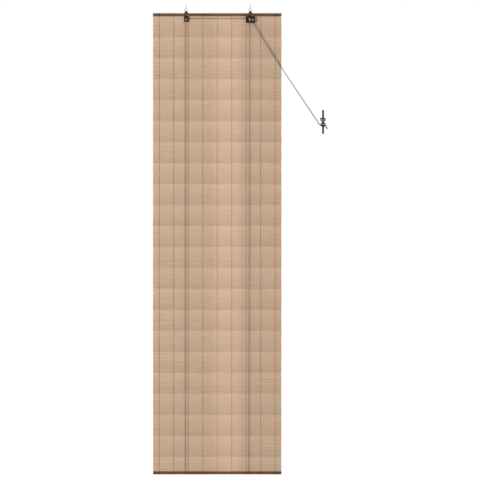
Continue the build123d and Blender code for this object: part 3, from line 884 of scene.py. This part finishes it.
def screw_head(name, radius, height):
    """A domed head along +Y with its back on y = 0, with a cross cut into it."""
    profile = [(0.0, 1.0), (0.35, 0.97), (0.7, 0.82), (0.93, 0.5), (1.0, 0.2), (1.0, 0.0),
               (0.0, 0.0)]
    shape = bmesh.new()
    verts = [shape.verts.new((r * radius * mm, -y * height * mm, 0)) for r, y in profile]
    edges = [shape.edges.new(pair) for pair in zip(verts, verts[1:])]
    bmesh.ops.spin(shape, geom=verts + edges, axis=(0, 1, 0), cent=(0, 0, 0), angle=math.tau,
                   steps=24)
    bmesh.ops.remove_doubles(shape, verts=shape.verts, dist=merge_distance)
    bmesh.ops.recalc_face_normals(shape, faces=shape.faces)
    mesh = bpy.data.meshes.new(name)
    shape.to_mesh(mesh)
    shape.free()
    obj = new_object(name, mesh)
    slots = []
    slot_long, slot_wide, slot_floor = 1.25 * radius, 0.28 * radius, -0.45 * height
    for wide, tall in ((slot_long, slot_wide), (slot_wide, slot_long)):
        bar = prism("slot", [(-2 * height, -tall / 2), (slot_floor, -tall / 2),
                             (slot_floor, tall / 2), (-2 * height, tall / 2)], -wide / 2, wide / 2)
        bpy.context.scene.collection.objects.link(bar)
        slots.append(bar)
        cut = obj.modifiers.new("slot", "BOOLEAN")
        cut.operation = "DIFFERENCE"
        cut.object = bar
    cut_mesh = plain_mesh(obj)
    obj.modifiers.clear()
    obj.data = cut_mesh
    for bar in slots:
        bpy.data.objects.remove(bar)
    return obj


def screw(name, radius, height, shank, length, plain):
    """A whole screw pointing along +Y: head, plain neck and thread."""
    neck = strand("neck", [[Vector((0, 0, 0)), Vector((0, plain * mm, 0))]], shank * mm,
                  thread_sides)
    thread = threaded("thread", Vector((0, plain, 0)), toward_wall, right, length - plain, shank,
                      screw_pitch, min(screw_tip, (length - plain) / 2))
    whole = joined(name, screw_head("head", radius, height), neck, thread)
    bpy.context.scene.collection.objects.unlink(whole)
    return whole


hanger_screw = screw("hanger_screw", 2.7, 1.3, 1.3, 6.0, 1.0)
cleat_screw = screw("cleat_screw", 3.2, 2.0, 1.75, 37.0, 15.0)
print("screw faces:", len(hanger_screw.data.polygons), len(cleat_screw.data.polygons))

# %% [markdown]
# Two screws hold each hanger plate, and two hold the cleat. Geometry Nodes set a copy at each place and
# turn it at random round its axis, because no two screws stop at the same angle.

# %% Screws in their places
def screws_tree():
    tree, given, end = new_tree("screws", Screw="Object", Places="Object", Seed="Int",
                                Finish="Material")
    places, one = [add(tree, "GeometryNodeObjectInfo", {"Object": given[label]},
                       transform_space="ORIGINAL").outputs["Geometry"]
                   for label in ("Places", "Screw")]
    turned = add(tree, "FunctionNodeRandomValue", {
        0: (0.0, 0.0, 0.0), 1: (0.0, math.tau, 0.0), "Seed": given["Seed"]},
        data_type="FLOAT_VECTOR").outputs[0]
    copies = add(tree, "GeometryNodeInstanceOnPoints", {
        "Points": places, "Instance": one, "Rotation": turned})
    real = add(tree, "GeometryNodeRealizeInstances", {"Geometry": copies.outputs[0]})
    painted = add(tree, "GeometryNodeSetMaterial", {
        "Geometry": real.outputs[0], "Material": given["Finish"]})
    tree.links.new(painted.outputs[0], end.inputs[0])
    return tree


def point_set(name, places):
    """A mesh of bare points, in millimetres."""
    mesh = bpy.data.meshes.new(name)
    mesh.from_pydata([Vector(p) * mm for p in places], [], [])
    return bpy.data.objects.new(name, mesh)


plate_front, hanger_screw_height, hanger_screw_aside, hanger_screw_step = -3.3, -30.1, 6.0, 2.3
hanger_places = [(x + way * hanger_screw_aside, plate_front,
                  hanger_screw_height - way * hanger_screw_step)
                 for x in hook_places for way in (-1, 1)]
cleat_screw_y, cleat_screw_aside = 2.4, 8.0
cleat_places = [(cleat_x, cleat_screw_y, cleat_z + way * cleat_screw_aside) for way in (1, -1)]
screws = screws_tree()
for name, one, places, seed, node in (
        ("zinc_hanger_screws", hanger_screw, hanger_places, 3, "hanger_screws"),
        ("zinc_cleat_screws", cleat_screw, cleat_places, 4, "cleat_screws")):
    copies = grown(name, screws, Screw=one, Places=point_set(node + "_places", places), Seed=seed,
                   Finish=yellow_zinc)
    place_piece(copies, root, "zinc_steel", None, node)

# %% [markdown]
# A plain studio is white all round. The white that the camera sees, straight or mirrored, is a
# background only. The light that falls on the blind is weaker, so that its colours come out as they
# are written. The floor is a matt sheet that keeps shadows, lifted to white for the camera.

# %% White surroundings
surround_light, floor_glow = 0.6, 0.6
floor_reach, floor_height = 30.0, -2.5


def studio_world():
    world = bpy.data.worlds.new("studio")
    world.use_nodes = True
    tree = world.node_tree
    tree.nodes.clear()
    rays = add(tree, "ShaderNodeLightPath").outputs
    seen = rays["Is Camera Ray"]
    for label in ("Is Glossy Ray", "Is Transmission Ray"):
        seen = add(tree, "ShaderNodeMath", {0: seen, 1: rays[label]}, operation="MAXIMUM").outputs[0]
    lit, white = [add(tree, "ShaderNodeBackground", {"Color": linear("ffffff"), "Strength": level})
                  for level in (surround_light, 1.0)]
    both = add(tree, "ShaderNodeMixShader", {0: seen, 1: lit.outputs[0], 2: white.outputs[0]})
    add(tree, "ShaderNodeOutputWorld", {"Surface": both.outputs[0]})
    return world


def pale_floor():
    material = bpy.data.materials.new("pale_floor")
    material.use_nodes = True
    tree = material.node_tree
    tree.nodes.clear()
    matt = add(tree, "ShaderNodeBsdfDiffuse", {"Color": linear("e8e8e6")})
    rays = add(tree, "ShaderNodeLightPath").outputs
    lift = add(tree, "ShaderNodeMath", {0: rays["Is Camera Ray"], 1: floor_glow},
               operation="MULTIPLY")
    glow = add(tree, "ShaderNodeEmission", {"Color": linear("ffffff"), "Strength": lift.outputs[0]})
    both = add(tree, "ShaderNodeAddShader", {0: matt.outputs[0], 1: glow.outputs[0]})
    add(tree, "ShaderNodeOutputMaterial", {"Surface": both.outputs[0]})
    return material


bpy.context.scene.world = studio_world()
floor_mesh = bpy.data.meshes.new("floor")
floor_mesh.from_pydata([(x * floor_reach, y * floor_reach, floor_height)
                        for x, y in ((-1, -1), (1, -1), (1, 1), (-1, 1))], [], [(0, 1, 2, 3)])
floor_mesh.materials.append(pale_floor())
floor = new_object("floor", floor_mesh)
print("floor at", floor_height, "m")

# %% [markdown]
# A broad lamp at the upper left gives cords and housings their soft shadow on the mat. A tall narrow
# lamp close in front, with its light held together, lays a faint bright stripe down the mat.

# %% Lamps
def lamp(name, place, aim, width, height, power, spread):
    """A flat lamp at a place, turned to what it lights, with sizes in metres."""
    data = bpy.data.lights.new(name, "AREA")
    data.shape = "RECTANGLE"
    data.size, data.size_y = width, height
    data.energy = power
    data.spread = math.radians(spread)
    obj = new_object(name, data)
    obj.location = place
    obj.rotation_euler = (Vector(aim) - Vector(place)).to_track_quat("-Z", "Y").to_euler()
    obj.visible_camera = False
    print(name, power, "W")


lamp("upper_left_lamp", (-5.0, -5.4, 0.2), (0.0, 0.0, -1.1), 1.15, 2.7, 320.0, 180)
lamp("front_strip", (0.040, -0.5, -1.08), (0.040, 0.0, -1.08), 0.12, 2.6, 0.15, 3)
bpy.context.scene.view_settings.view_transform = "Standard"
